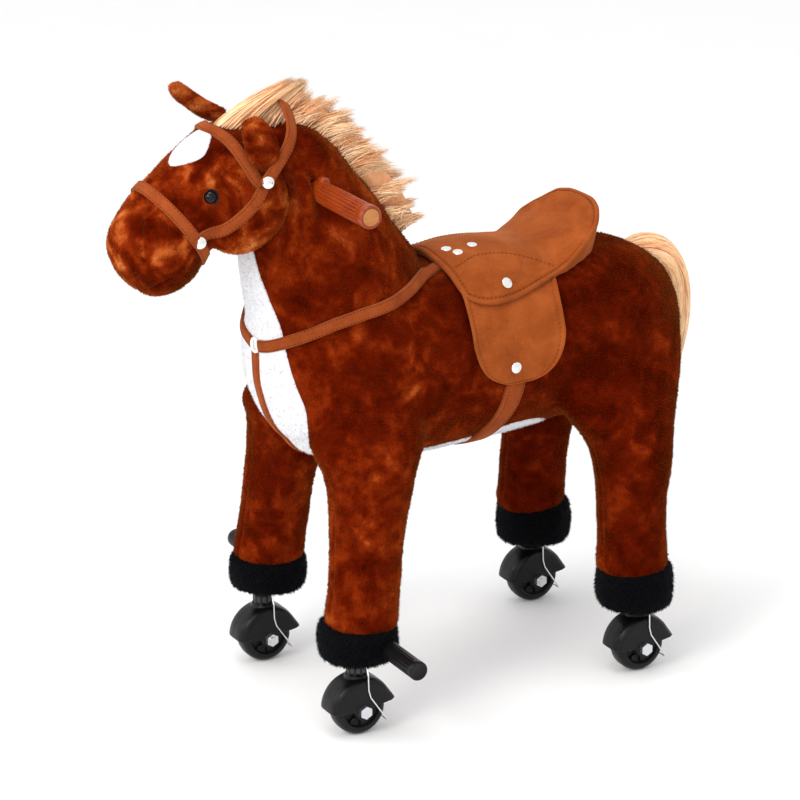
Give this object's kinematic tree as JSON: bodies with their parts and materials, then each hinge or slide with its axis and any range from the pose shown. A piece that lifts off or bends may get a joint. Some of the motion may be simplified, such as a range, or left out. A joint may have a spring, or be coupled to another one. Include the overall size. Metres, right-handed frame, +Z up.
{
  "type": "plush ride-on walking pony",
  "caption": "Plush walking pony for a child to ride, on hooded wheels, with saddle, bridle, handle bar through the neck, foot pegs, and a sprung, hinged frame that spreads to push it along.",
  "frame": {"origin": "on the floor, at the middle of the whole object's box", "axes": "+Z up, the head towards -Y, the pony's left towards +X"},
  "size_m": [0.436, 0.7135, 0.7029],
  "materials": {
    "plush_brown": "crushed chestnut plush pile",
    "plush_white": "short white plush pile",
    "plush_black": "short black plush pile",
    "mane_fur": "long brushed apricot pile",
    "saddle_suede": "tan faux suede, rolled and stitched edges",
    "strap_suede": "brown faux suede strap, stitched both edges",
    "stud_metal": "domed nickel press stud",
    "zinc": "zinc plated",
    "bare_steel": "bright drawn wire and tube",
    "frame_paint": "black powder coat",
    "handle_plastic": "glossy orange-brown, fluted",
    "end_disc": "tan disc with turned rings",
    "black_plastic": "satin moulded",
    "wheel_rubber": "satin black tread",
    "eye_plastic": "polished black",
    "ring_plastic": "white plastic ring",
    "board_wood": "bare plywood",
    "bush_nylon": "natural nylon"
  },
  "bodies": {
    "rear_frame": {"rear_leg_tubes": "frame_paint", "rear_cross_tube": "frame_paint", "rear_pivot_arms": "frame_paint", "seat_board": "board_wood", "pivot_bolt": "zinc", "pivot_nut": "zinc", "pivot_bushes": "bush_nylon", "return_spring": "bare_steel", "barrel": "plush_brown", "rear_leg_left": "plush_brown", "rear_leg_right": "plush_brown", "rear_hooves": "plush_black", "tail": "mane_fur", "belly_panel": "plush_white", "saddle_seat": "saddle_suede", "saddle_cantle": "saddle_suede", "saddle_flaps": "saddle_suede", "saddle_studs": "stud_metal", "girth": "strap_suede", "rear_hood_left": "black_plastic", "rear_hood_right": "black_plastic", "rear_axle_bolts": "zinc", "rear_axle_nuts": "zinc", "rear_pawl_wires": "bare_steel"},
    "front_frame": {"front_leg_tubes": "frame_paint", "front_cross_tube": "frame_paint", "front_pivot_arms": "frame_paint", "neck_post": "frame_paint", "handle_bar": "bare_steel", "grip_left": "handle_plastic", "grip_right": "handle_plastic", "grip_end_caps": "end_disc", "peg_rods": "bare_steel", "foot_peg_left": "black_plastic", "foot_peg_right": "black_plastic", "chest": "plush_brown", "neck": "plush_brown", "head": "plush_brown", "ears": "plush_brown", "eyes": "eye_plastic", "mane": "mane_fur", "front_leg_left": "plush_brown", "front_leg_right": "plush_brown", "front_hooves": "plush_black", "chest_panel": "plush_white", "blaze_patch": "plush_white", "noseband": "strap_suede", "headstall": "strap_suede", "bridle_rivets": "stud_metal", "breast_strap": "strap_suede", "breast_ring": "ring_plastic", "front_hood_left": "black_plastic", "front_hood_right": "black_plastic", "front_axle_bolts": "zinc", "front_axle_nuts": "zinc", "front_pawl_wires": "bare_steel"},
    "wheel_front_left": {"front_wheel_left": "wheel_rubber"},
    "wheel_front_right": {"front_wheel_right": "wheel_rubber"},
    "wheel_rear_left": {"rear_wheel_left": "wheel_rubber"},
    "wheel_rear_right": {"rear_wheel_right": "wheel_rubber"}
  },
  "joints": [
    {"name": "frame_bounce", "type": "hinge", "parent": "rear_frame", "child": "front_frame", "pos_m": [0, 0.012, 0.42], "axis": [-1, 0, 0], "range_deg": [0, 10], "stiffness_Nm_per_rad": 43, "springref_deg": -8.02, "deforming": ["return_spring"]},
    {"name": "front_left_wheel_spin", "type": "hinge", "parent": "front_frame", "child": "wheel_front_left", "pos_m": [0.112, -0.133, 0.03], "axis": [1, 0, 0], "continuous": true},
    {"name": "front_right_wheel_spin", "type": "hinge", "parent": "front_frame", "child": "wheel_front_right", "pos_m": [-0.112, -0.133, 0.03], "axis": [1, 0, 0], "continuous": true},
    {"name": "rear_left_wheel_spin", "type": "hinge", "parent": "rear_frame", "child": "wheel_rear_left", "pos_m": [0.115, 0.223, 0.03], "axis": [1, 0, 0], "continuous": true},
    {"name": "rear_right_wheel_spin", "type": "hinge", "parent": "rear_frame", "child": "wheel_rear_right", "pos_m": [-0.115, 0.223, 0.03], "axis": [1, 0, 0], "continuous": true}
  ]
}
